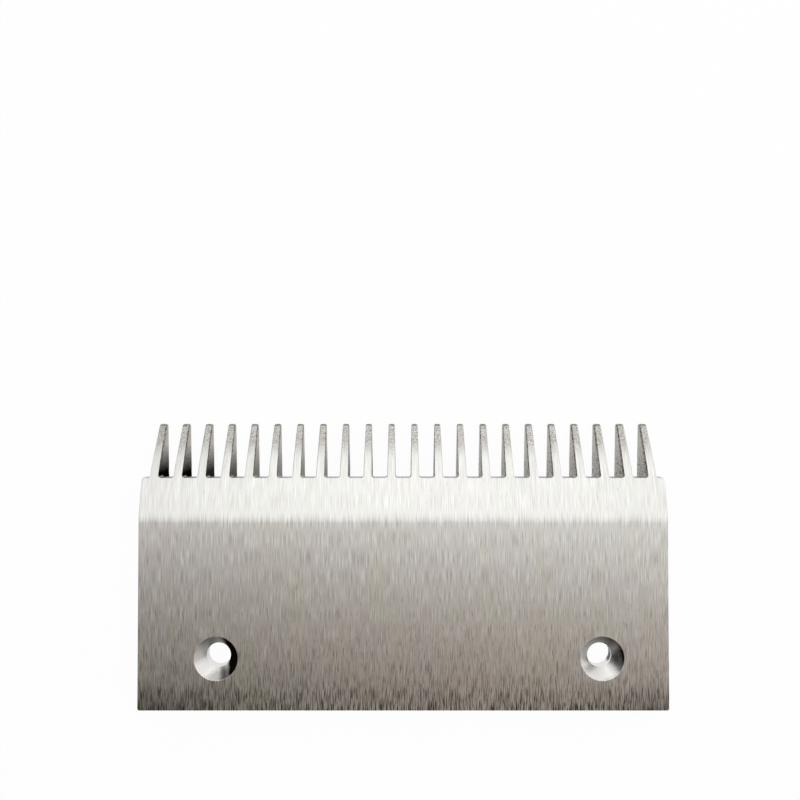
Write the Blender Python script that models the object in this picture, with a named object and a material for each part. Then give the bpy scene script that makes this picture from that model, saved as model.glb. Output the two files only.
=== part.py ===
"""Escalator comb plate: one aluminium profile with a row of teeth milled along its front edge.

+X runs along the row of teeth, +Y points from the rear edge to the tooth tips and +Z is up.
The origin is in the middle of the plate's outline, on the plane that the plate stands on.
"""

import math

import bmesh
import bpy
from mathutils import Matrix, Vector

MM = 0.001

# Row of teeth: each one runs in a groove of the step tread, so their pitch is the tread's
TOOTH_COUNT = 22
TOOTH_PITCH = 9.068 * MM
TOOTH_WIDTH = 3.05 * MM
TOOTH_LENGTH = 20.3 * MM
STRAIGHT_LENGTH = 3.5 * MM
TAPER_RADIUS = 40.0 * MM
TIP_WIDTH = 2.3 * MM
TIP_HEIGHT = 2.7 * MM
TIP_CORNER_RADIUS = 0.7 * MM
TIP_TOP_RADIUS = 1.2 * MM
TIP_FOOT_RADIUS = 0.7 * MM
GAP_ROOT_RADIUS = 1.0 * MM

# Body, which butts against the next comb plate at both ends
BODY_DEPTH = 86.8 * MM
DECK_HEIGHT = 14.0 * MM
END_CLEARANCE = 0.05 * MM
FRONT_CORNER_RADIUS = 0.7 * MM
REAR_CORNER_RADIUS = 0.8 * MM
EDGE_BREAK = 0.4 * MM

# Nose: it leaves the flat deck at a crease and falls a little to the round corner at the gaps,
# where the steeper slope of the teeth begins
CREASE_SETBACK = 14.8 * MM
CREASE_RADIUS = 25.0 * MM
NOSE_FALL = 2.36 * MM
NOSE_CORNER_SETBACK = 0.1 * MM
NOSE_RADIUS = 60.0 * MM

# Underside: a web between the foot along the rear edge and the ribs under the nose. The teeth run
# on as those ribs, and the step tread's cleats pass between them
WEB_THICKNESS = 7.0 * MM
RIB_LENGTH = 16.0 * MM
FOOT_DEPTH = 10.0 * MM
CHANNEL_RADIUS = 2.5 * MM

# Countersunk holes for M8 screws: the pair is a little off the plate's middle
HOLE_SPACING = 145.0 * MM
HOLE_SHIFT = 2.2 * MM
HOLE_TO_REAR = 19.4 * MM
BORE_DIAMETER = 9.2 * MM
SINK_DIAMETER = 16.6 * MM
SINK_ANGLE = math.radians(90.0)
HOLE_SIDES = 48

# How finely round corners are cut into flats, and which edges stay sharp when shaded
CHORD_ERROR = 0.02 * MM
SHARP_ANGLE = math.radians(35.0)

# How far a cutting shape reaches past the plate
CUT_OVERRUN = 2.0 * MM

PLATE_WIDTH = TOOTH_COUNT * TOOTH_PITCH - 2 * END_CLEARANCE
FRONT_Y = (BODY_DEPTH + TOOTH_LENGTH) / 2
ROOT_Y = FRONT_Y - TOOTH_LENGTH
REAR_Y = ROOT_Y - BODY_DEPTH
RIB_END_Y = ROOT_Y - RIB_LENGTH
WEB_Z = DECK_HEIGHT - WEB_THICKNESS


def corner_radii(places, radii):
    """The radii, made smaller where two neighbouring arcs would not fit on the side they share."""
    count = len(places)
    tangents = []
    for index, place in enumerate(places):
        before = places[index - 1] - place
        after = places[(index + 1) % count] - place
        tangents.append(radii[index] / math.tan(before.angle(after) / 2))
    fits = [1.0] * count
    for index in range(count):
        after = (index + 1) % count
        needed = tangents[index] + tangents[after]
        side = (places[after] - places[index]).length
        if needed > side:
            fits[index] = min(fits[index], side / needed)
            fits[after] = min(fits[after], side / needed)
    return [radius * fit for radius, fit in zip(radii, fits)]


def corner_arc(corner, before, after, radius):
    """Points of the arc that rounds a corner, where before and after lead to its neighbours.

    Its ends are set along the two sides, so that a straight side stays exactly straight.
    """
    half_angle = before.angle(after) / 2
    before, after = before.normalized(), after.normalized()
    bisector = (before + after).normalized()
    centre = corner + bisector * radius / math.sin(half_angle)
    tangent = radius / math.tan(half_angle)
    start, end = corner + before * tangent, corner + after * tangent
    turn = math.pi - 2 * half_angle
    if before.cross(bisector) > 0:
        turn = -turn
    turn_of_flat = 2 * math.acos(1 - min(CHORD_ERROR / radius, 0.5))
    flats = max(2, math.ceil(abs(turn) / turn_of_flat))
    turns = [Matrix.Rotation(turn * flat / flats, 2) for flat in range(1, flats)]
    return [start] + [centre + part @ (start - centre) for part in turns] + [end]


def rounded_outline(corners):
    """Points of a closed outline whose corners are given as (first, second, radius)."""
    places = [Vector(corner[:2]) for corner in corners]
    radii = corner_radii(places, [corner[2] for corner in corners])
    points = []
    for index, place in enumerate(places):
        before = places[index - 1] - place
        after = places[(index + 1) % len(places)] - place
        points += corner_arc(place, before, after, radii[index])
    return points


def solid_from(shape, name):
    """Turns a closed bmesh into an object of its own, with its faces pointing outwards."""
    bmesh.ops.recalc_face_normals(shape, faces=shape.faces)
    mesh = bpy.data.meshes.new(name)
    shape.to_mesh(mesh)
    shape.free()
    solid = bpy.data.objects.new(name, mesh)
    bpy.context.collection.objects.link(solid)
    return solid


def prism(name, outline, travel):
    """The closed solid that an outline sweeps when it moves along the travel vector."""
    shape = bmesh.new()
    face = shape.faces.new([shape.verts.new(point) for point in outline])
    moved = bmesh.ops.extrude_face_region(shape, geom=[face])["geom"]
    far_end = [part for part in moved if isinstance(part, bmesh.types.BMVert)]
    bmesh.ops.translate(shape, verts=far_end, vec=travel)
    return solid_from(shape, name)


def side_profile():
    """The section along a tooth, as (y, z): deck, nose, tooth tip, rib, web and foot."""
    foot_y = REAR_Y + FOOT_DEPTH
    return rounded_outline([
        (REAR_Y, 0, EDGE_BREAK),
        (REAR_Y, DECK_HEIGHT, EDGE_BREAK),
        (ROOT_Y - CREASE_SETBACK, DECK_HEIGHT, CREASE_RADIUS),
        (ROOT_Y - NOSE_CORNER_SETBACK, DECK_HEIGHT - NOSE_FALL, NOSE_RADIUS),
        (FRONT_Y, TIP_HEIGHT, TIP_TOP_RADIUS),
        (FRONT_Y, 0, TIP_FOOT_RADIUS),
        (RIB_END_Y, 0, EDGE_BREAK),
        (RIB_END_Y, WEB_Z, CHANNEL_RADIUS),
        (foot_y, WEB_Z, CHANNEL_RADIUS),
        (foot_y, 0, EDGE_BREAK),
    ])


def tooth_middle(tooth):
    """Where a tooth stands in the row, as its x."""
    return (tooth - (TOOTH_COUNT - 1) / 2) * TOOTH_PITCH


def plan_outline():
    """The plate seen from above, as (x, y): a body with the row of teeth along its front."""
    half_width = PLATE_WIDTH / 2
    taper_y = ROOT_Y + STRAIGHT_LENGTH
    corners = [
        (half_width, REAR_Y, REAR_CORNER_RADIUS),
        (-half_width, REAR_Y, REAR_CORNER_RADIUS),
        (-half_width, ROOT_Y, FRONT_CORNER_RADIUS),
    ]
    for tooth in range(TOOTH_COUNT):
        middle = tooth_middle(tooth)
        left = middle - TOOTH_WIDTH / 2
        right = middle + TOOTH_WIDTH / 2
        corners += [
            (left, ROOT_Y, GAP_ROOT_RADIUS),
            (left, taper_y, TAPER_RADIUS),
            (middle - TIP_WIDTH / 2, FRONT_Y, TIP_CORNER_RADIUS),
            (middle + TIP_WIDTH / 2, FRONT_Y, TIP_CORNER_RADIUS),
            (right, taper_y, TAPER_RADIUS),
            (right, ROOT_Y, GAP_ROOT_RADIUS),
        ]
    corners.append((half_width, ROOT_Y, FRONT_CORNER_RADIUS))
    return rounded_outline(corners)


def slot_tool(name):
    """The spaces between the ribs, under the web: one box between two ribs and one past each end."""
    end_x = PLATE_WIDTH / 2 + CUT_OVERRUN
    right_sides = [tooth_middle(tooth) + TOOTH_WIDTH / 2 for tooth in range(TOOTH_COUNT)]
    left_sides = [tooth_middle(tooth) - TOOTH_WIDTH / 2 for tooth in range(TOOTH_COUNT)]
    y_limits = (RIB_END_Y - CHANNEL_RADIUS - CUT_OVERRUN, ROOT_Y + STRAIGHT_LENGTH)
    shape = bmesh.new()
    for x_limits in zip([-end_x] + right_sides, left_sides + [end_x]):
        corners = bmesh.ops.create_cube(shape, size=1)["verts"]
        for corner in corners:
            x, y, z = (place > 0 for place in corner.co)
            corner.co = (x_limits[x], y_limits[y], (-CUT_OVERRUN, WEB_Z)[z])
    return solid_from(shape, name)


def hole_tool(name, x, y):
    """The space of one screw hole: a cone that opens at the deck, above a straight bore."""
    flare = math.tan(SINK_ANGLE / 2)
    sink_depth = (SINK_DIAMETER - BORE_DIAMETER) / 2 / flare
    levels = [
        (BORE_DIAMETER / 2, -CUT_OVERRUN),
        (BORE_DIAMETER / 2, DECK_HEIGHT - sink_depth),
        (SINK_DIAMETER / 2 + CUT_OVERRUN * flare, DECK_HEIGHT + CUT_OVERRUN),
    ]
    shape = bmesh.new()
    rings = []
    for radius, z in levels:
        ring = bmesh.ops.create_circle(shape, segments=HOLE_SIDES, radius=radius)["verts"]
        bmesh.ops.translate(shape, verts=ring, vec=(x, y, z))
        rings.append(ring)
    for lower, upper in zip(rings, rings[1:]):
        for side in range(HOLE_SIDES):
            after = (side + 1) % HOLE_SIDES
            shape.faces.new((lower[side], lower[after], upper[after], upper[side]))
    shape.faces.new(rings[0])
    shape.faces.new(rings[-1])
    return solid_from(shape, name)


def add_boolean(target, tool, operation):
    """Shapes the target with the tool, which stays in the scene as a wire that isn't rendered."""
    tool.hide_render = True
    tool.display_type = "WIRE"
    cut = target.modifiers.new(tool.name, "BOOLEAN")
    cut.operation = operation
    cut.object = tool


def bake_cuts(target):
    """Keeps the shaped mesh, with its round faces shaded smooth between sharp edges."""
    bpy.context.view_layer.update()
    shaped = target.evaluated_get(bpy.context.evaluated_depsgraph_get())
    target.data = bpy.data.meshes.new_from_object(shaped)
    target.modifiers.clear()
    target.data.shade_smooth()
    target.data.set_sharp_from_angle(angle=SHARP_ANGLE)


def milled_aluminium():
    """Bare aluminium with a linished surface, slightly warm and not polished."""
    material = bpy.data.materials.new("milled_aluminium")
    material.use_nodes = True
    shader = material.node_tree.nodes["Principled BSDF"]
    shader.inputs["Base Color"].default_value = (0.72, 0.71, 0.69, 1.0)
    shader.inputs["Metallic"].default_value = 1.0
    shader.inputs["Roughness"].default_value = 0.35
    return material


def make_comb_plate():
    """The whole plate: its side profile swept along the width, kept inside its plan outline."""
    half_sweep = PLATE_WIDTH / 2 + CUT_OVERRUN
    section = [(-half_sweep, point.x, point.y) for point in side_profile()]
    plate = prism("comb_plate", section, (2 * half_sweep, 0, 0))

    footprint = [(point.x, point.y, -CUT_OVERRUN) for point in plan_outline()]
    plan_tool = prism("plan_tool", footprint, (0, 0, DECK_HEIGHT + 2 * CUT_OVERRUN))
    add_boolean(plate, plan_tool, "INTERSECT")
    add_boolean(plate, slot_tool("slot_tool"), "DIFFERENCE")

    for side, direction in (("left", -1), ("right", 1)):
        x = HOLE_SHIFT + direction * HOLE_SPACING / 2
        tool = hole_tool(f"{side}_hole_tool", x, REAR_Y + HOLE_TO_REAR)
        add_boolean(plate, tool, "DIFFERENCE")

    bake_cuts(plate)
    plate.data.materials.append(milled_aluminium())


def main():
    for thing in list(bpy.data.objects):
        bpy.data.objects.remove(thing, do_unlink=True)
    make_comb_plate()


main()
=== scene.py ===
"""Escalator comb plate: the finished plate, and the plain studio that it lies in."""

import math
from functools import partial

import bmesh
import bpy
import numpy as np
from mathutils import Matrix, Vector


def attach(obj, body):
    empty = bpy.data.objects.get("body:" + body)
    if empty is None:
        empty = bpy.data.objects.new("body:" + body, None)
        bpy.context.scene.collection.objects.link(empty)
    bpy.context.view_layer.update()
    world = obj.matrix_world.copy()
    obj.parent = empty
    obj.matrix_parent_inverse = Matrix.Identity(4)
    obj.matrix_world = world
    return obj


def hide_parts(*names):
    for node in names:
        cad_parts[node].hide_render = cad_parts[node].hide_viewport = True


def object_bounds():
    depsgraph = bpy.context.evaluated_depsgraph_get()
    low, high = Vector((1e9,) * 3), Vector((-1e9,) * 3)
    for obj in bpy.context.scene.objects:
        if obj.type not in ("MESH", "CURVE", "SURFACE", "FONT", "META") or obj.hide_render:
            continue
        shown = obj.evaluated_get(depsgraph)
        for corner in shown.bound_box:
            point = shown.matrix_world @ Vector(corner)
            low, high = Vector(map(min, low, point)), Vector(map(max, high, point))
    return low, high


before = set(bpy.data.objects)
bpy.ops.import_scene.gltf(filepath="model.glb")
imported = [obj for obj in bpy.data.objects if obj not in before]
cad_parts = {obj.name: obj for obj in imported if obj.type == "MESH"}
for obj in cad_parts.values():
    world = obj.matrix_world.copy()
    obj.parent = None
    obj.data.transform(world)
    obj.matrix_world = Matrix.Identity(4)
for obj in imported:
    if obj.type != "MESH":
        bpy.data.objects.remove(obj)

bl_info = {
    "name": "Escalator Comb Plate",
    "version": (1, 0, 0),
    "blender": (4, 5, 0),
    "location": "3D View > Sidebar > Comb Plate",
    "description": "Makes a milled aluminium comb plate and the studio that it lies in",
    "category": "Add Mesh",
}

MM = 0.001

# The plate's outer box, which its teeth, nose and underside are laid out in
CAD_LOW, CAD_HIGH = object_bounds()
REAR_Y, FRONT_Y, DECK_Z = CAD_LOW.y, CAD_HIGH.y, CAD_HIGH.z
HALF_WIDTH = (CAD_HIGH.x - CAD_LOW.x) / 2

# Flats in each kind of rounding, and the largest turn between two faces that shade as one
RIM_FLATS = 4
CORNER_FLATS = 8
NOSE_FLATS = 32
HOLE_SIDES = 96
SMOOTH_TURN = math.radians(30)

# The channel's walls lean by this much, so that each place in the plan has one depth
WALL_LEAN = 0.02 * MM
WELD_DISTANCE = 0.001 * MM

FINISHES = ("linished_aluminium", "sawn_aluminium", "extruded_aluminium", "turned_aluminium")

# The kinds of node that are used most. A span takes its inputs 1 and 2 to its inputs 3 and 4,
# which are 0 and 1 when they aren't given, and stops at both.
MATH, SPAN, MIX = "ShaderNodeMath", "ShaderNodeMapRange", "ShaderNodeMix"

# Middles of the wall and of the panel, in metres from the plate's middle
WALL_X, WALL_Y = -1.3, 0.2
PANEL_X, PANEL_Y = 0.05, 0.795


def linear(text):
    """The linear colour of an sRGB hex value, as a material takes it."""
    parts = [int(text[place:place + 2], 16) / 255 for place in (0, 2, 4)]
    return tuple(part / 12.92 if part <= 0.04045 else ((part + 0.055) / 1.055) ** 2.4
                 for part in parts)


def length(name, description, millimetres):
    return bpy.props.FloatProperty(
        name=name, description=description, default=millimetres * MM, min=0, precision=5,
        subtype="DISTANCE", unit="LENGTH")


def colour(name, description, text):
    return bpy.props.FloatVectorProperty(
        name=name, description=description, default=(*linear(text), 1), min=0, max=1, size=4,
        subtype="COLOR")


def share(name, description, default, most=1.0):
    return bpy.props.FloatProperty(
        name=name, description=description, default=default, min=0, max=most,
        subtype="FACTOR")


class CombPlateSizes(bpy.types.PropertyGroup):
    """Sizes of the plate inside its outer box"""
    tooth_count: bpy.props.IntProperty(
        name="Teeth", description="Teeth along the front edge", default=22, min=3)
    tooth_pitch: length("Tooth Pitch", "From one tooth to the next, as on the step tread", 9.068)
    tooth_width: length("Tooth Width", "Thickness of a tooth at the bottom of a gap", 3.05)
    tooth_length: length("Tooth Length", "From the bottom of a gap to the tooth tips", 20.3)
    straight: length("Straight Length", "How far a tooth keeps its width", 3.5)
    taper_radius: length("Taper Radius", "Radius where the taper of a tooth begins", 40)
    tip_width: length("Tip Width", "Thickness of a tooth at its tip", 2.3)
    tip_height: length("Tip Height", "Where the slope would meet the front of a tip", 2.7)
    tip_corner: length("Tip Corner", "Radius of a tip's corners seen from above", 0.7)
    tip_top: length("Tip Top", "Radius between a tip's slope and its front", 1.2)
    tip_foot: length("Tip Foot", "Radius between a tip's front and its foot", 0.7)
    gap_root: length("Gap Root", "Radius in the two corners at the bottom of a gap", 1.0)
    front_corner: length("Front Corner", "Radius of the plate's front corners", 0.7)
    rear_corner: length("Rear Corner", "Radius of the plate's rear corners", 0.8)
    edge: length("Edge Rounding", "Radius that every outer edge is eased to", 0.25)
    crease_setback: length("Crease Setback", "From a gap's bottom back to the deck's edge", 14.8)
    crease_radius: length("Crease Radius", "Radius between the deck and the nose", 25)
    nose_setback: length("Nose Setback", "From a gap's bottom back to the nose's corner", 0.1)
    nose_fall: length("Nose Fall", "How far below the deck the nose's corner is", 2.36)
    nose_radius: length("Nose Radius", "Radius between the nose and the slope of the teeth", 60)
    web: length("Web Thickness", "Thickness of the plate above the channel", 7)
    rib_length: length("Rib Length", "How far the teeth run on under the nose", 16)
    slot_corner: length("Slot Corner", "Radius in the upper corners between the ribs", 0.6)
    foot_depth: length("Foot Depth", "How far the rear foot reaches forward", 10)
    channel_corner: length("Channel Corner", "Radius in the channel's upper corners", 2.5)
    hole_spacing: length("Hole Spacing", "Between the two screw holes", 145)
    hole_shift: length("Hole Shift", "From the plate's middle to the holes' middle", 2.2)
    hole_to_rear: length("Hole to Rear", "From a hole's middle to the rear edge", 19.4)
    bore: length("Bore", "Diameter of the straight part of a hole", 9.2)
    sink: length("Countersink", "Diameter of the countersink at the deck", 16.6)
    hole_edge: length("Hole Edge", "Rounding of the countersink's rim and the bore's end", 0.08)


class CombPlateFinish(bpy.types.PropertyGroup):
    """Colours and gloss of the plate's finishes"""
    bright: colour("Bright Metal", "Crests of the linished lines", "EBEBE8")
    worn: colour("Worn Metal", "Ground between the linished lines", "D2D1CC")
    olive: colour("Olive Bloom", "Where the top has dulled to olive", "DAD8C8")
    mauve: colour("Mauve Bloom", "Where the top has dulled to mauve", "DDD3D3")
    # Also the painted grey reflection on the side of each countersink towards the teeth.
    groove_dirt_and_shade: colour("Groove", "Dirt that stays in the deep lines", "2E2A23")
    grain: colour("Grain", "Pits in the grained slope of the teeth", "98938D")
    sawn: colour("Sawn Metal", "Walls that a saw cut", "C2BEB8")
    # Also the painted shade on the sides of the teeth, and the painted dark reflections and shade
    # in the holes.
    soot_and_shade: colour("Soot", "Dirt at the bottom of the gaps", "100D0B")
    extruded: colour("Extruded Metal", "Skin that the die left", "C4C2BD")
    turned: colour("Turned Metal", "Countersinks and bores", "E8E6E3")
    roughness: share("Linished Roughness", "Roughness of the linished top", 0.38)
    stretch: share("Linished Stretch", "How much wider highlights are across the lines", 0.65)


class CombPlateStage(bpy.types.PropertyGroup):
    """The camera, the floor and the light"""
    camera_height: length("Camera Height", "From the deck up to the camera", 220.9)
    camera_x: bpy.props.FloatProperty(
        name="Camera X", description="The camera's place along the row of teeth",
        default=-1.23 * MM, subtype="DISTANCE", unit="LENGTH")
    camera_to_rear: length("Camera to Rear", "The camera's place in front of the rear edge", 112.9)
    camera_tilt: bpy.props.FloatProperty(
        name="Camera Tilt", description="How far the camera looks towards the tooth tips",
        default=math.radians(0.91), subtype="ANGLE", unit="ROTATION")
    lens: bpy.props.FloatProperty(
        name="Lens", description="Focal length on a 36 mm sensor", default=26.33, min=1,
        subtype="DISTANCE_CAMERA", unit="CAMERA")
    floor_size: length("Floor Size", "Side of the square floor", 8000)
    floor: colour("Floor", "Colour of the floor and the backdrop", "FFFFFF")
    floor_glow: share("Floor Glow", "Share of the floor that is white without any light", 0.96)
    wall: colour("Wall", "Colour of the wall that the metal mirrors as dark", "3A3632")
    wall_height: length("Wall Height", "How far the wall reaches up from the floor", 900)
    wall_length: length("Wall Length", "Length of the wall on the left", 4000)
    ceiling_size: length("Ceiling Size", "Side of the square ceiling", 5000)
    ceiling_height: length("Ceiling Height", "From the floor up to the ceiling", 1000)
    ceiling_turn: bpy.props.FloatProperty(
        name="Ceiling Turn", description="How far the dark side of the ceiling is turned left",
        default=math.radians(-5.5), subtype="ANGLE", unit="ROTATION")
    ceiling_corner: colour("Ceiling Corner", "Ceiling far behind the rear left corner", "5A554D")
    ceiling_dark: colour("Dark Ceiling", "Ceiling behind the rear edge", "A2958A")
    ceiling_light: colour("Light Ceiling", "Ceiling over the teeth", "FFFFFF")
    ceiling_front: colour("Front Ceiling", "Ceiling far in front of the teeth", "E0E0E0")
    panel_width: length("Panel Width", "Size of the soft panel along the row of teeth", 1400)
    panel_length: length("Panel Length", "Size of the soft panel from rear to front", 1700)
    panel_power: bpy.props.FloatProperty(
        name="Panel Power", description="Power of the soft panel over the teeth", default=2.85,
        min=0, unit="POWER")
    dome_light: share("Dome Light", "Light that comes from all round", 0.6, 4.0)


def add_node(tree, kind, inputs=None, output=0, **settings):
    """Adds a node, sets it up, links or sets its inputs, and gives one of its outputs.

    The output and the keys of the inputs are names or places.
    """
    node = tree.nodes.new(kind)
    for name, value in settings.items():
        setattr(node, name, value)
    for key, value in (inputs or {}).items():
        if isinstance(value, bpy.types.NodeSocket):
            tree.links.new(value, node.inputs[key])
        else:
            node.inputs[key].default_value = value
    return node.outputs[output] if node.outputs else None


def object_from(shape, name):
    """Turns a bmesh into an object at the origin."""
    mesh = bpy.data.meshes.new(name)
    shape.to_mesh(mesh)
    shape.free()
    made = bpy.data.objects.new(name, mesh)
    bpy.context.scene.collection.objects.link(made)
    return made


def apply_modifiers(thing):
    """Keeps the mesh that the modifiers make, and removes the modifiers."""
    bpy.context.view_layer.update()
    final = thing.evaluated_get(bpy.context.evaluated_depsgraph_get())
    thing.data = bpy.data.meshes.new_from_object(final)
    thing.modifiers.clear()


def rounded_path(corners):
    """Points of an open path. Its ends are (u, v) and its corners (u, v, radius, flats).

    The ends of an arc are set along its two sides, so that a straight side stays straight.
    """
    points = [Vector(corners[0][:2])]
    for before, corner, after in zip(corners, corners[1:], corners[2:]):
        place = Vector(corner[:2])
        radius, flats = corner[2:]
        back = (Vector(before[:2]) - place).normalized()
        ahead = (Vector(after[:2]) - place).normalized()
        half_angle = back.angle(ahead) / 2
        bisector = (back + ahead).normalized()
        centre = place + bisector * radius / math.sin(half_angle)
        tangent = radius / math.tan(half_angle)
        start = place + back * tangent
        turn = math.pi - 2 * half_angle
        if back.cross(bisector) > 0:
            turn = -turn
        points.append(start)
        for flat in range(1, flats):
            points.append(centre + Matrix.Rotation(turn * flat / flats, 2) @ (start - centre))
        points.append(place + ahead * tangent)
    points.append(Vector(corners[-1][:2]))
    return points


def moved_in(corners, distance):
    """The corners of a plan outline moved into the plate, with the centres of their arcs kept."""
    places = [Vector(corner[:2]) for corner in corners]
    sides = [(end - start).normalized() for start, end in zip(places, places[1:])]
    inwards = [Vector((-side.y, side.x)) for side in sides]
    moved = [tuple(places[0] + inwards[0] * distance)]
    for index, corner in enumerate(corners[1:-1], start=1):
        before, after = inwards[index - 1:index + 1]
        place = places[index] + (before + after) * distance / (1 + before.dot(after))
        turn = sides[index - 1].cross(sides[index])
        moved.append((*place, corner[2] - math.copysign(distance, turn), corner[3]))
    return moved + [tuple(places[-1] + inwards[-1] * distance)]


def section_lines(sizes):
    """The plate's upper and lower lines seen from its end, as (y, z) from rear to front."""
    root_y = FRONT_Y - sizes.tooth_length
    rib_y = root_y - sizes.rib_length
    foot_y = REAR_Y + sizes.foot_depth
    web_z = DECK_Z - sizes.web
    nose_y, nose_z = root_y - sizes.nose_setback, DECK_Z - sizes.nose_fall
    upper = rounded_path([
        (REAR_Y, DECK_Z),
        (root_y - sizes.crease_setback, DECK_Z, sizes.crease_radius, CORNER_FLATS),
        (nose_y, nose_z, sizes.nose_radius, NOSE_FLATS),
        (FRONT_Y, sizes.tip_height, sizes.tip_top, CORNER_FLATS),
        (FRONT_Y, 0),
    ])
    lower = rounded_path([
        (REAR_Y, 0),
        (foot_y, 0, sizes.edge, RIM_FLATS),
        (foot_y + WALL_LEAN, web_z, sizes.channel_corner, CORNER_FLATS),
        (rib_y - WALL_LEAN, web_z, sizes.channel_corner, CORNER_FLATS),
        (rib_y, 0, sizes.edge, RIM_FLATS),
        (FRONT_Y, 0, sizes.tip_foot, CORNER_FLATS),
        (FRONT_Y, sizes.tip_height),
    ])
    return upper[:-1], lower[:-1]


def flat_tile(rim, closing, sizes, lines):
    """A flat piece of the plan, cut along the lines. Its drop layer is the depth of the rounding.

    The rim is the part of its outline that becomes a wall, with the plate on its left. The
    closing points lead from the rim's end back to its start, where another tile joins on.
    """
    tile = bmesh.new()
    drop = tile.verts.layers.float.new("drop")
    rings = []
    for flat in range(RIM_FLATS + 1):
        angle = math.pi / 2 * flat / RIM_FLATS
        ring = []
        for point in rounded_path(moved_in(rim, sizes.edge * (1 - math.cos(angle)))):
            vertex = tile.verts.new((*point, 0))
            vertex[drop] = sizes.edge * (1 - math.sin(angle))
            ring.append(vertex)
        rings.append(ring)
    for outer, inner in zip(rings, rings[1:]):
        for place in range(len(outer) - 1):
            tile.faces.new((outer[place], outer[place + 1], inner[place + 1], inner[place]))
    tile.faces.new(rings[-1] + [tile.verts.new((*point, 0)) for point in closing])
    for y in lines:
        bmesh.ops.bisect_plane(
            tile, geom=tile.verts[:] + tile.edges[:] + tile.faces[:], dist=1e-8,
            plane_co=(0, y, 0), plane_no=(0, 1, 0))
    return tile


def raised(tile, section, edge, name):
    """The solid over a flat tile: the tile raised to both lines of the section, with its walls."""
    upper, lower = (np.array([tuple(point) for point in line]) for line in section)
    drop = tile.verts.layers.float["drop"]
    shape = bmesh.new()
    tops, bottoms = {}, {}
    for vertex in tile.verts:
        x, y, _ = vertex.co
        tops[vertex] = shape.verts.new((x, y, np.interp(y, *upper.T) - vertex[drop]))
        bottoms[vertex] = shape.verts.new((x, y, np.interp(y, *lower.T) + vertex[drop]))
    for face in tile.faces:
        shape.faces.new([tops[vertex] for vertex in face.verts])
        shape.faces.new([bottoms[vertex] for vertex in reversed(face.verts)])
    for side in tile.edges:
        if side.is_boundary and min(end[drop] for end in side.verts) > 0.999 * edge:
            start = side.link_loops[0].vert
            end = side.other_vert(start)
            shape.faces.new((bottoms[start], bottoms[end], tops[end], tops[start]))
    tile.free()
    return object_from(shape, name)


def tooth_rim(x, sizes):
    """Outline of the tooth at x, from the gap on its right round its tip to the gap on its left."""
    right, left = x + sizes.tooth_width / 2, x - sizes.tooth_width / 2
    root_y = FRONT_Y - sizes.tooth_length
    taper_y = root_y + sizes.straight
    return [
        (right, root_y, sizes.gap_root, CORNER_FLATS),
        (right, taper_y, sizes.taper_radius, 2),
        (x + sizes.tip_width / 2, FRONT_Y, sizes.tip_corner, CORNER_FLATS),
        (x - sizes.tip_width / 2, FRONT_Y, sizes.tip_corner, CORNER_FLATS),
        (left, taper_y, sizes.taper_radius, 2),
        (left, root_y, sizes.gap_root, CORNER_FLATS),
    ]


def seam_y(sizes):
    """Where the tiles of the teeth join the body: just behind the rounding of the gaps."""
    return FRONT_Y - sizes.tooth_length - 2 * sizes.edge


def tooth_tile(sizes, section, lines):
    """One tooth with half a gap on each side of it, which repeats along the row."""
    half, root_y = sizes.tooth_pitch / 2, FRONT_Y - sizes.tooth_length
    rim = [(half, root_y)] + tooth_rim(0, sizes) + [(-half, root_y)]
    closing = [(-half, seam_y(sizes)), (half, seam_y(sizes))]
    return raised(flat_tile(rim, closing, sizes, lines), section, sizes.edge, "tooth_tile")


def body_tile(sizes, section, lines):
    """The plate behind the teeth, with the first and the last tooth, beside which it ends."""
    root_y = FRONT_Y - sizes.tooth_length
    last_x = sizes.tooth_pitch * (sizes.tooth_count - 1) / 2
    inner_x = last_x - sizes.tooth_pitch / 2
    rim = [
        (-inner_x, root_y),
        *tooth_rim(-last_x, sizes),
        (-HALF_WIDTH, root_y, sizes.front_corner, CORNER_FLATS),
        (-HALF_WIDTH, REAR_Y, sizes.rear_corner, CORNER_FLATS),
        (HALF_WIDTH, REAR_Y, sizes.rear_corner, CORNER_FLATS),
        (HALF_WIDTH, root_y, sizes.front_corner, CORNER_FLATS),
        *tooth_rim(last_x, sizes),
        (inner_x, root_y),
    ]
    closing = [(inner_x - sizes.tooth_pitch * tile, seam_y(sizes))
               for tile in range(sizes.tooth_count - 1)]
    return raised(flat_tile(rim, closing, sizes, lines), section, sizes.edge, "body_tile")


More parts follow.
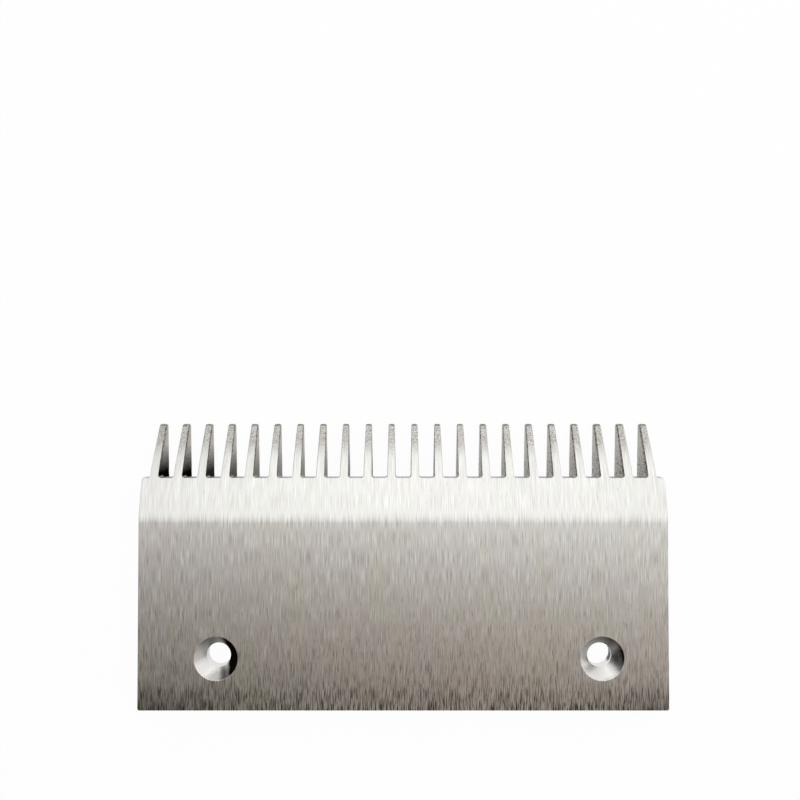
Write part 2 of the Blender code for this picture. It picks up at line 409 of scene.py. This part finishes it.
def row_tree():
    """Geometry nodes that set a tooth tile along the row and weld it to the body."""
    tree = bpy.data.node_groups.new("Row of Teeth", "GeometryNodeTree")
    sockets = tree.interface
    sockets.new_socket("Tooth", in_out="INPUT", socket_type="NodeSocketGeometry")
    sockets.new_socket("Body", in_out="INPUT", socket_type="NodeSocketObject")
    sockets.new_socket("Teeth", in_out="INPUT", socket_type="NodeSocketInt")
    for name in ("Pitch", "Weld Distance"):
        sockets.new_socket(name, in_out="INPUT", socket_type="NodeSocketFloat")
    sockets.new_socket("Finish", in_out="INPUT", socket_type="NodeSocketMaterial")
    sockets.new_socket("Plate", in_out="OUTPUT", socket_type="NodeSocketGeometry")

    add = partial(add_node, tree)
    given = add("NodeGroupInput").node.outputs
    gaps = add(MATH, {0: given["Teeth"], 1: 1}, operation="SUBTRACT")
    row = add(MATH, {0: gaps, 1: given["Pitch"]}, operation="MULTIPLY")
    left = add(MATH, {0: row, 1: -0.5}, operation="MULTIPLY")
    start = add("ShaderNodeCombineXYZ", {"X": left})
    step = add("ShaderNodeCombineXYZ", {"X": given["Pitch"]})
    places = add("GeometryNodeMeshLine", {
        "Count": given["Teeth"], "Start Location": start, "Offset": step})
    teeth = add("GeometryNodeInstanceOnPoints", {"Points": places, "Instance": given["Tooth"]})
    body = add("GeometryNodeObjectInfo", {"Object": given["Body"]}, output="Geometry")
    both = add("GeometryNodeJoinGeometry", {"Geometry": teeth})
    tree.links.new(body, both.node.inputs["Geometry"])
    real = add("GeometryNodeRealizeInstances", {"Geometry": both})
    welded = add("GeometryNodeMergeByDistance", {
        "Geometry": real, "Distance": given["Weld Distance"]})
    smooth = add("GeometryNodeSetShadeSmooth", {"Geometry": welded})
    finished = add("GeometryNodeSetMaterial", {"Geometry": smooth, "Material": given["Finish"]})
    add("NodeGroupOutput", {"Plate": finished})
    return tree


def set_inputs(modifier, values):
    """Sets the inputs of a geometry nodes modifier, found by name, by their identifiers."""
    for item in modifier.node_group.interface.items_tree:
        if item.name in values:
            modifier[item.identifier] = values[item.name]


def hole_centres(sizes):
    """Where the axes of the two screw holes stand."""
    return [Vector((sizes.hole_shift + side * sizes.hole_spacing / 2, REAR_Y + sizes.hole_to_rear))
            for side in (-1, 1)]


def hole_cutter(sizes):
    """The space of both screw holes, with the eased rim of each countersink and bore."""
    past = 2 * MM
    web_z = DECK_Z - sizes.web
    bore, sink, ease = sizes.bore / 2, sizes.sink / 2, sizes.hole_edge
    # Radius and height of each ring, from below upwards. The fifth to the seventh round the rim.
    levels = [
        (bore + ease + past, web_z - past),
        (bore + ease, web_z),
        (bore, web_z + ease),
        (bore, DECK_Z - (sink - bore)),
        (sink - ease, DECK_Z - ease),
        (sink - 0.2 * ease, DECK_Z - 0.35 * ease),
        (sink + ease, DECK_Z),
        (sink + 2 * past, DECK_Z + past / 2),
    ]
    cutter = bmesh.new()
    for centre in hole_centres(sizes):
        rings = []
        for radius, z in levels:
            ring = bmesh.ops.create_circle(cutter, segments=HOLE_SIDES, radius=radius)["verts"]
            bmesh.ops.translate(cutter, verts=ring, vec=(*centre, z))
            rings.append(ring)
        for lower, upper in zip(rings, rings[1:]):
            for side in range(HOLE_SIDES):
                after = (side + 1) % HOLE_SIDES
                cutter.faces.new((lower[side], lower[after], upper[after], upper[side]))
        cutter.faces.new(reversed(rings[0]))
        cutter.faces.new(rings[-1])
    bmesh.ops.recalc_face_normals(cutter, faces=cutter.faces)
    return object_from(cutter, "hole_cutter")


def slot_cutter(sizes):
    """The space of one cleat under the nose, between two ribs, which repeats along the row."""
    past = 2 * MM
    web_z = DECK_Z - sizes.web
    half = (sizes.tooth_pitch - sizes.tooth_width) / 2
    back_y = FRONT_Y - sizes.tooth_length - sizes.rib_length - sizes.channel_corner - past
    front_y = FRONT_Y - sizes.tooth_length + sizes.straight
    arch = rounded_path([
        (-half, -past),
        (-half, web_z, sizes.slot_corner, RIM_FLATS),
        (half, web_z, sizes.slot_corner, RIM_FLATS),
        (half, -past),
    ])
    cutter = bmesh.new()
    back = [cutter.verts.new((x, back_y, z)) for x, z in arch]
    front = [cutter.verts.new((x, front_y, z)) for x, z in arch]
    for place in range(len(arch)):
        cutter.faces.new((back[place - 1], back[place], front[place], front[place - 1]))
    cutter.faces.new(back)
    cutter.faces.new(front)
    bmesh.ops.recalc_face_normals(cutter, faces=cutter.faces)
    return object_from(cutter, "slot_cutter")


def give_finishes(plate, sizes):
    """Gives each face the finish of what cut it: the linisher, a saw, the die or a countersink.

    The eased rim of a countersink is more level than its cone, and is linished with the deck.
    """
    saw_y = FRONT_Y - sizes.tooth_length - sizes.rib_length + sizes.edge
    centres = hole_centres(sizes)
    hole_reach = sizes.sink / 2 + sizes.hole_edge
    for face in plate.data.polygons:
        place, facing = face.center, face.normal
        reach = min((Vector(place[:2]) - centre).length for centre in centres)
        if reach < hole_reach and (0.01 > facing.z > -0.1 or 0.75 > facing.z > 0.1):
            finish = 3
        elif facing.z > 0.35:
            finish = 0
        elif abs(facing.x) > 0.8 and abs(place.x) > HALF_WIDTH - sizes.edge:
            finish = 1
        elif place.y > saw_y and (abs(facing.z) < 0.35 or place.z > sizes.edge):
            finish = 1
        else:
            finish = 2
        face.material_index = finish


def unwrap(plate):
    """Lays out each face by the side that it faces, with U across the lines of its finish."""
    layer = plate.data.uv_layers.new(name="finish")
    points = plate.data.vertices
    for face in plate.data.polygons:
        facing = [abs(part) for part in face.normal]
        if facing[2] >= max(facing[:2]):
            across, along = 0, 1
        elif facing[0] > facing[1]:
            across, along = 2, 1
        else:
            across, along = 2, 0
        for corner in face.loop_indices:
            place = points[plate.data.loops[corner].vertex_index].co
            layer.data[corner].uv = (place[across] / MM, place[along] / MM)


def spots(tree, size, detail=2.0, shift=0.0):
    """Noise whose spots have this size along X, Y and Z, in millimetres."""
    spot = add_node(tree, "ShaderNodeTexCoord", output="Object")
    drawn = add_node(tree, "ShaderNodeMapping", {
        "Vector": spot, "Location": (shift, shift, shift),
        "Scale": [1 / (part * MM) for part in size]})
    return add_node(tree, "ShaderNodeTexNoise", {
        "Vector": drawn, "Scale": 1.0, "Detail": detail}, output="Fac")


def place_along(tree, axis):
    """A point's place along one axis of the plate."""
    spot = add_node(tree, "ShaderNodeTexCoord", output="Object")
    return add_node(tree, "ShaderNodeSeparateXYZ", {"Vector": spot}, output=axis)


def metal(name, roughness, stretch=0.0):
    """A metal material with its tree and its shader."""
    material = bpy.data.materials.new(name)
    material.use_nodes = True
    shader = material.node_tree.nodes["Principled BSDF"]
    shader.inputs["Metallic"].default_value = 1.0
    shader.inputs["Roughness"].default_value = roughness
    shader.inputs["Anisotropic"].default_value = stretch
    return material, material.node_tree, shader


def layered(tree, base, layers):
    """The base colour under layers, each an amount between 0 and 1 and its colour."""
    for amount, layer in layers:
        # A mix has its two colours at places 6 and 7, and gives their mix at place 2.
        base = add_node(tree, MIX, {0: amount, 6: base, 7: layer}, output=2, data_type="RGBA")
    return base


def leaning_lines(tree, lines, most):
    """A normal that leans along Y by a different amount on each of the lines."""
    lean = add_node(tree, SPAN, {0: lines, 1: 0.3, 2: 0.7, 3: -most, 4: most})
    facing = add_node(tree, "ShaderNodeNewGeometry", output="Normal")
    tilt = add_node(tree, "ShaderNodeCombineXYZ", {"Y": lean})
    leaning = add_node(tree, "ShaderNodeVectorMath", {0: facing, 1: tilt}, operation="ADD")
    return add_node(tree, "ShaderNodeVectorMath", {0: leaning}, operation="NORMALIZE")


def linished_aluminium(finish):
    """The top, ground on a belt along Y: short bright and dark lines that run front to back.

    It blooms faintly olive and mauve, collects dirt in the lines along the rear edge, and turns
    from lines to grain on the slope of the teeth, where the belt didn't reach.
    """
    material, tree, shader = metal(FINISHES[0], finish.roughness, finish.stretch)
    add = partial(add_node, tree)
    y = place_along(tree, "Y")
    # A 120 grit belt leaves lines about 0.1 mm wide. They are drawn 0.25 mm wide and 7 mm long,
    # or they wouldn't show in a picture of the whole plate.
    fine = spots(tree, (0.25, 7.0, 7.0), detail=1.0)
    long_lines = spots(tree, (0.5, 20.0, 20.0), shift=3.0)
    tone = add(MATH, {0: long_lines, 1: 0.4, 2: fine}, operation="MULTIPLY_ADD")
    layers = [(add(SPAN, {0: tone, 1: 0.48, 2: 0.92}), finish.bright)]
    # Bloom comes in bands about 6 mm wide and 30 mm long, which fade in front of the flat deck.
    bloom = spots(tree, (6.0, 30.0, 30.0), shift=7.0)
    most = add(SPAN, {0: y, 1: FRONT_Y - 34 * MM, 2: FRONT_Y - 40 * MM, 3: 0.1, 4: 0.35})
    for layer, limit in ((finish.olive, 0.68), (finish.mauve, 0.32)):
        band = add(SPAN, {0: bloom, 1: 0.5, 2: limit})
        layers.append((add(MATH, {0: band, 1: most}, operation="MULTIPLY"), layer))

    # Dirt lines are 0.2 mm wide and 5 mm long. They are few in the middle of the deck, crowd
    # along the rear edge, and run together in the two rear corners.
    dirt = spots(tree, (0.2, 5.0, 5.0), detail=1.0, shift=11.0)
    clean = add(SPAN, {0: y, 1: REAR_Y, 2: REAR_Y + 50 * MM, 3: 0.5, 4: 0.75})
    dirtier = add(MATH, {0: dirt, 1: clean}, operation="SUBTRACT")
    deep = add(SPAN, {0: dirtier, 1: -0.01, 2: 0.02})
    edge = add(SPAN, {0: y, 1: REAR_Y + 14 * MM, 2: REAR_Y, 3: 0.45, 4: 0.9})
    layers.append((add(MATH, {0: deep, 1: edge}, operation="MULTIPLY"), finish.groove_dirt_and_shade))
    aside = add(MATH, {0: place_along(tree, "X")}, operation="ABSOLUTE")
    at_end = add(SPAN, {0: aside, 1: HALF_WIDTH - 50 * MM, 2: HALF_WIDTH, 4: 0.4})
    at_rear = add(SPAN, {0: y, 1: REAR_Y + 12 * MM, 2: REAR_Y})
    layers.append((add(MATH, {0: at_end, 1: at_rear}, operation="MULTIPLY"), finish.groove_dirt_and_shade))

    # Grain on the slope of the teeth has pits about 0.4 mm wide, and the tips darken towards their
    # front.
    grain = spots(tree, (0.4, 0.4, 0.4), detail=3.0, shift=5.0)
    ragged = add(MATH, {0: grain, 1: 6 * MM, 2: y}, operation="MULTIPLY_ADD")
    slope = add(SPAN, {0: ragged, 1: FRONT_Y - 10 * MM, 2: FRONT_Y - 4 * MM})
    pits = add(SPAN, {0: grain, 1: 0.58, 2: 0.42, 3: 0.2})
    layers.append((add(MATH, {0: slope, 1: pits}, operation="MULTIPLY"), finish.grain))
    tip = add(SPAN, {0: y, 1: FRONT_Y - 0.9 * MM, 2: FRONT_Y - 0.5 * MM, 4: 0.5})
    layers.append((tip, finish.groove_dirt_and_shade))
    tree.links.new(layered(tree, finish.worn, layers), shader.inputs["Base Color"])

    across = add("ShaderNodeTangent", direction_type="UV_MAP", uv_map="finish")
    tree.links.new(across, shader.inputs["Tangent"])
    tree.links.new(leaning_lines(tree, fine, 0.035), shader.inputs["Normal"])
    return material


def sawn_aluminium(finish):
    """The teeth's sides and the gaps: dull, with upright saw lines.

    Painted shade blackens the sides of the teeth towards the gaps' bottoms, and the walls at the
    gaps' bottoms stay bright below a thin dark line.
    """
    material, tree, shader = metal(FINISHES[1], 0.45)
    add = partial(add_node, tree)
    sizes = bpy.context.scene.comb_plate_sizes
    x, y, z = (place_along(tree, axis) for axis in "XYZ")
    # Saw lines are about 0.3 mm apart, and the grain between them is as fine.
    lines = spots(tree, (2.0, 0.3, 3.0))
    grain = spots(tree, (0.3, 0.3, 0.3), shift=2.0)
    uneven = add(MATH, {0: lines, 1: grain}, operation="ADD")
    cut = add(SPAN, {0: uneven, 1: 0.8, 2: 1.25, 4: 0.35})

    facing = add("ShaderNodeNewGeometry", output="Normal")
    toward = add("ShaderNodeSeparateXYZ", {"Vector": facing}).node.outputs
    gap_y = FRONT_Y - sizes.tooth_length
    # Painted shade darkens the sides of the teeth towards the gaps' bottoms, with a ragged border.
    ragged = add(MATH, {0: uneven, 1: -3 * MM, 2: y}, operation="MULTIPLY_ADD")
    near_gap = add(SPAN, {0: ragged, 1: gap_y + 9 * MM, 2: gap_y - 1 * MM})
    # The painted shade is darkest on the right sides of the teeth far left.
    right = add(SPAN, {0: x, 1: -78 * MM, 2: -55 * MM, 3: 1.0, 4: 0.4})
    # On the left sides the painted shade lies only in black specks about 0.8 mm wide.
    specks = spots(tree, (0.8, 0.8, 0.8), shift=4.0)
    left = add(SPAN, {0: specks, 1: 0.52, 2: 0.66, 3: 0.05, 4: 0.8})
    turned_right = add(SPAN, {0: toward["X"], 1: -0.5, 2: 0.5})
    side = add(MIX, {"Factor": turned_right, "A": left, "B": right})
    soot_and_shade = add(MATH, {0: near_gap, 1: side}, operation="MULTIPLY")
    # Dark dashes about 1 mm long run along each side's upper edge, and end 2 mm below it.
    slope = (DECK_Z - sizes.nose_fall - sizes.tip_height) / (
        sizes.tooth_length + sizes.nose_setback)
    from_tip = add(MATH, {0: FRONT_Y, 1: y}, operation="SUBTRACT")
    edge_z = add(MATH, {0: from_tip, 1: slope, 2: sizes.tip_height}, operation="MULTIPLY_ADD")
    depth = add(MATH, {0: edge_z, 1: z}, operation="SUBTRACT")
    upper = add(SPAN, {0: depth, 1: 2.0 * MM, 2: 1.2 * MM})
    broken = add(SPAN, {0: spots(tree, (1.0, 1.0, 1.0)), 1: 0.42, 2: 0.58, 3: 0.15, 4: 0.85})
    dashes = add(MATH, {0: upper, 1: broken}, operation="MULTIPLY")
    soot_and_shade = add(MATH, {0: soot_and_shade, 1: dashes}, operation="MAXIMUM")
    # The dark line is fainter in the middle of the row.
    aside = add(MATH, {0: x}, operation="ABSOLUTE")
    outer_darker = add(SPAN, {0: aside, 1: 40 * MM, 2: 75 * MM, 3: 0.15, 4: 0.6})
    high = add(SPAN, {0: z, 1: DECK_Z - 3.6 * MM, 2: DECK_Z - 3.2 * MM})
    line = add(MATH, {0: outer_darker, 1: high}, operation="MULTIPLY")
    in_gap = add(SPAN, {0: toward["Y"], 1: 0.4, 2: 0.8})
    black = add(MIX, {"Factor": in_gap, "A": soot_and_shade, "B": line})
    layers = [(cut, finish.soot_and_shade), (black, finish.soot_and_shade)]
    tree.links.new(layered(tree, finish.sawn, layers), shader.inputs["Base Color"])
    # The painted shade is matt, so it has no metal's sheen at the low angle that the sides are seen
    # from.
    bare = add(MATH, {0: 1.0, 1: black}, operation="SUBTRACT")
    tree.links.new(bare, shader.inputs["Metallic"])
    shader.inputs["Specular IOR Level"].default_value = 0.0
    return material


def extruded_aluminium(finish):
    """Skin as the die left it: even, smooth and a little dull."""
    material, _, shader = metal(FINISHES[2], 0.35)
    shader.inputs["Base Color"].default_value = finish.extruded
    return material


def turned_aluminium(finish):
    """Countersinks and bores: bright and smooth.

    Painted grey reflection dulls the side of each towards the teeth, and painted black
    reflection its right side, where it is a thin rim in the right-hand hole.
    """
    material, tree, shader = metal(FINISHES[3], 0.26)
    add = partial(add_node, tree)
    sizes = bpy.context.scene.comb_plate_sizes
    x, y, z = (place_along(tree, axis) for axis in "XYZ")
    # The hole is -1 for the left one and 1 for the right one, and a point's place is right and
    # up from the middle of its own hole.
    from_middle = add(MATH, {0: x, 1: sizes.hole_shift}, operation="SUBTRACT")
    hole = add(MATH, {0: from_middle}, operation="SIGN")
    right = add(MATH, {0: hole, 1: -sizes.hole_spacing / 2, 2: from_middle},
                operation="MULTIPLY_ADD")
    up = add(MATH, {0: y, 1: REAR_Y + sizes.hole_to_rear}, operation="SUBTRACT")
    # Painted grey reflection on the side of each hole towards the teeth.
    painted_grey_reflection = add(SPAN, {0: up, 1: -3 * MM, 2: 6.5 * MM, 4: 0.8})
    layers = [(painted_grey_reflection, finish.groove_dirt_and_shade)]

    # Each painted dark reflection lies beyond a line across the hole. Its border is 1.6 mm wide,
    # and spots about 1 mm wide make it uneven.
    uneven = add(MATH, {0: spots(tree, (1.0, 1.0, 1.0)), 1: 1.5 * MM}, operation="MULTIPLY")
    for across, along, in_left, in_right, most in (
            (0.9, 0.3, 3.2, 3.8, 0.5), (0.35, -0.94, 5.0, 8.0, 0.35), (1.0, 0.15, 3.2, 6.9, 1.0)):
        aside = add(MATH, {0: right, 1: across, 2: uneven}, operation="MULTIPLY_ADD")
        reach = add(MATH, {0: up, 1: along, 2: aside}, operation="MULTIPLY_ADD")
        border = add(SPAN, {0: hole, 1: -1, 2: 1, 3: in_left * MM, 4: in_right * MM})
        past = add(MATH, {0: reach, 1: border}, operation="SUBTRACT")
        painted_dark_reflection = add(SPAN, {0: past, 1: 0, 2: 1.6 * MM, 4: most})
        layers.append((painted_dark_reflection, finish.soot_and_shade))
    # Painted shade also darkens the bore of the right-hand hole low down.
    in_right_hole = add(SPAN, {0: hole, 1: -1, 2: 1})
    deep = add(SPAN, {0: z, 1: DECK_Z - 4.4 * MM, 2: DECK_Z - 4.8 * MM})
    low = add(MATH, {0: deep, 1: in_right_hole}, operation="MULTIPLY")
    aside = add(MATH, {0: up, 1: 0.6, 2: right}, operation="MULTIPLY_ADD")
    painted_bore_shade = add(SPAN, {0: aside, 1: 1.2 * MM, 2: 2.6 * MM, 4: 0.9})
    layers.append((add(MATH, {0: low, 1: painted_bore_shade}, operation="MULTIPLY"), finish.soot_and_shade))
    tree.links.new(layered(tree, finish.turned, layers), shader.inputs["Base Color"])
    # The strongest painted dark reflection turns the metal off, so that it mirrors nothing.
    bare = add(MATH, {0: 1.0, 1: painted_dark_reflection}, operation="SUBTRACT")
    tree.links.new(bare, shader.inputs["Metallic"])
    shader.inputs["Specular IOR Level"].default_value = 0.0
    return material


class CombPlateMakePlate(bpy.types.Operator):
    """Makes the plate with its row of teeth, screw holes and finishes"""
    bl_idname = "comb_plate.make_plate"
    bl_label = "Make Plate"

    def execute(self, context):
        sizes, finish = context.scene.comb_plate_sizes, context.scene.comb_plate_finish
        section = section_lines(sizes)
        lines = sorted({round(point.x, 9) for line in section for point in line})
        plate = tooth_tile(sizes, section, lines)
        body = body_tile(sizes, section, lines)
        slots, holes = slot_cutter(sizes), hole_cutter(sizes)
        plate.name = plate.data.name = "finished_comb_plate"
        materials = [make(finish) for make in (
            linished_aluminium, sawn_aluminium, extruded_aluminium, turned_aluminium)]

        rows = row_tree()
        for thing, count, joined in ((plate, sizes.tooth_count - 2, body),
                                     (slots, sizes.tooth_count + 1, None)):
            row = thing.modifiers.new("Row", "NODES")
            row.node_group = rows
            set_inputs(row, {
                "Body": joined, "Teeth": count, "Pitch": sizes.tooth_pitch,
                "Weld Distance": WELD_DISTANCE, "Finish": materials[0]})
        for cutter in (slots, holes):
            plate.modifiers.new(cutter.name, "BOOLEAN").object = cutter
        apply_modifiers(plate)
        for helper in (body, slots, holes):
            bpy.data.objects.remove(helper)

        plate.data.materials.clear()
        for material in materials:
            plate.data.materials.append(material)
        give_finishes(plate, sizes)
        unwrap(plate)
        plate.data.shade_smooth()
        plate.data.set_sharp_from_angle(angle=SMOOTH_TURN)
        weighted = plate.modifiers.new("Weighted Normals", "WEIGHTED_NORMAL")
        weighted.keep_sharp = True
        apply_modifiers(plate)

        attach(plate, "root")
        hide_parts("comb_plate")
        return {"FINISHED"}


def background_ray(tree):
    """1 for rays that show the background: from the camera, or mirrored, or through glass."""
    path = add_node(tree, "ShaderNodeLightPath").node.outputs
    seen = add_node(tree, MATH, {0: path["Is Camera Ray"], 1: path["Is Glossy Ray"]},
                    operation="MAXIMUM")
    return add_node(tree, MATH, {0: seen, 1: path["Is Transmission Ray"]}, operation="MAXIMUM")


def level_square(name, centre, across, along, material):
    """A level square of the stage."""
    shape = bmesh.new()
    bmesh.ops.create_grid(shape, x_segments=1, y_segments=1, size=0.5)
    bmesh.ops.scale(shape, verts=shape.verts, vec=(across, along, 1))
    bmesh.ops.translate(shape, verts=shape.verts, vec=centre)
    square = object_from(shape, name)
    square.data.materials.append(material)
    return square


def floor_material(stage):
    """White paper. Most of it glows white, so that the shadows on it stay faint."""
    material = bpy.data.materials.new("white_paper")
    material.use_nodes = True
    tree = material.node_tree
    tree.nodes.clear()
    paper = add_node(tree, "ShaderNodeBsdfDiffuse", {"Color": stage.floor})
    glow = add_node(tree, "ShaderNodeEmission", {"Color": stage.floor})
    amount = add_node(tree, MATH, {0: background_ray(tree), 1: stage.floor_glow},
                      operation="MULTIPLY")
    mix = add_node(tree, "ShaderNodeMixShader", {0: amount, 1: paper, 2: glow})
    add_node(tree, "ShaderNodeOutputMaterial", {"Surface": mix})
    return material


def studio_world(stage):
    """A white backdrop all round, which lights the plate more softly than it shows."""
    world = bpy.data.worlds.new("studio")
    bpy.context.scene.world = world
    world.use_nodes = True
    tree = world.node_tree
    tree.nodes.clear()
    strength = add_node(tree, SPAN, {0: background_ray(tree), 1: 0, 2: 1, 3: stage.dome_light})
    sky = add_node(tree, "ShaderNodeBackground", {"Color": stage.floor, "Strength": strength})
    add_node(tree, "ShaderNodeOutputWorld", {"Surface": sky})


def wall_material(stage):
    """Matt dark paper, which the countersinks and the sides of the teeth mirror."""
    material = bpy.data.materials.new("dark_paper")
    material.use_nodes = True
    shader = material.node_tree.nodes["Principled BSDF"]
    shader.inputs["Base Color"].default_value = stage.wall
    shader.inputs["Roughness"].default_value = 1.0
    return material


def ceiling_material(stage):
    """A glowing ceiling: dark far behind the rear edge, light over the teeth, grey in front.

    Its borders are in metres from the plate's middle. To the camera, the flat deck mirrors it
    between 0.56 m and 0.16 m behind the middle, and the teeth mirror it about 1 m in front.
    """
    material = bpy.data.materials.new("ceiling")
    material.use_nodes = True
    tree = material.node_tree
    tree.nodes.clear()
    add = partial(add_node, tree)
    x, y = place_along(tree, "X"), place_along(tree, "Y")
    # The darkest corner lies beyond a slanting border.
    aside = add(MATH, {0: y, 1: 2, 2: x}, operation="MULTIPLY_ADD")
    out_of_corner = add(SPAN, {0: aside, 1: -1.6, 2: -1.2})
    rise = add(SPAN, {0: y, 1: -0.6, 2: -0.265, 4: 0.12})
    jump = add(SPAN, {0: y, 1: -0.29, 2: -0.16, 4: 0.88})
    overhead = add(MATH, {0: rise, 1: jump}, operation="ADD")
    in_front = add(SPAN, {0: y, 1: 1.9, 2: 2.3})
    glow = layered(tree, stage.ceiling_corner, [
        (out_of_corner, stage.ceiling_dark), (overhead, stage.ceiling_light),
        (in_front, stage.ceiling_front)])
    shader = add("ShaderNodeEmission", {"Color": glow})
    add("ShaderNodeOutputMaterial", {"Surface": shader})
    return material


class CombPlateMakeStage(bpy.types.Operator):
    """Makes the camera, the floor, the backdrop and the soft light"""
    bl_idname = "comb_plate.make_stage"
    bl_label = "Make Stage"

    def execute(self, context):
        scene, stage = context.scene, context.scene.comb_plate_stage
        camera = bpy.data.objects.new("camera", bpy.data.cameras.new("camera"))
        scene.collection.objects.link(camera)
        camera.location = (stage.camera_x, REAR_Y + stage.camera_to_rear,
                           DECK_Z + stage.camera_height)
        camera.rotation_euler.x = stage.camera_tilt
        camera.data.lens = stage.lens
        camera.data.clip_start = 10 * MM
        scene.camera = camera

        # The floor lies just under the plate's feet, because two faces in one plane flicker.
        level_square("floor", (0, 0, -0.05 * MM), stage.floor_size, stage.floor_size,
                     floor_material(stage))
        studio_world(stage)

        ceiling = level_square("ceiling", (0, 0, 0), stage.ceiling_size, stage.ceiling_size,
                               ceiling_material(stage))
        ceiling.location.z = stage.ceiling_height
        ceiling.rotation_euler.z = stage.ceiling_turn
        ceiling.visible_camera = False
        wall = level_square("wall_on_left", (0, 0, 0), stage.wall_height, stage.wall_length,
                            wall_material(stage))
        wall.location = (WALL_X, WALL_Y, stage.wall_height / 2)
        wall.rotation_euler.y = math.pi / 2
        wall.visible_camera = False

        panel = bpy.data.lights.new("panel", "AREA")
        panel.shape = "RECTANGLE"
        panel.size, panel.size_y = stage.panel_width, stage.panel_length
        panel.energy = stage.panel_power
        lamp = bpy.data.objects.new("panel", panel)
        lamp.location = (PANEL_X, PANEL_Y, stage.ceiling_height - 10 * MM)
        scene.collection.objects.link(lamp)

        scene.view_settings.view_transform = "Standard"
        return {"FINISHED"}


class CombPlatePanel(bpy.types.Panel):
    """Lists the sizes, the colours and the steps that make the scene"""
    bl_idname = "VIEW3D_PT_comb_plate"
    bl_label = "Comb Plate"
    bl_space_type = "VIEW_3D"
    bl_region_type = "UI"
    bl_category = "Comb Plate"

    def draw(self, context):
        for step in STEPS:
            self.layout.operator(step.bl_idname)
        for name in GROUPS:
            group = getattr(context.scene, name)
            column = self.layout.column(align=True)
            for prop in type(group).__annotations__:
                column.prop(group, prop)


GROUPS = {
    "comb_plate_sizes": CombPlateSizes,
    "comb_plate_finish": CombPlateFinish,
    "comb_plate_stage": CombPlateStage,
}
STEPS = (CombPlateMakePlate, CombPlateMakeStage)


def register():
    for kind in (*GROUPS.values(), *STEPS, CombPlatePanel):
        bpy.utils.register_class(kind)
    for name, kind in GROUPS.items():
        setattr(bpy.types.Scene, name, bpy.props.PointerProperty(type=kind))


def unregister():
    for name in GROUPS:
        delattr(bpy.types.Scene, name)
    for kind in reversed((*GROUPS.values(), *STEPS, CombPlatePanel)):
        bpy.utils.unregister_class(kind)


def main():
    register()
    bpy.ops.comb_plate.make_plate()
    bpy.ops.comb_plate.make_stage()


if __name__ == "__main__":
    main()
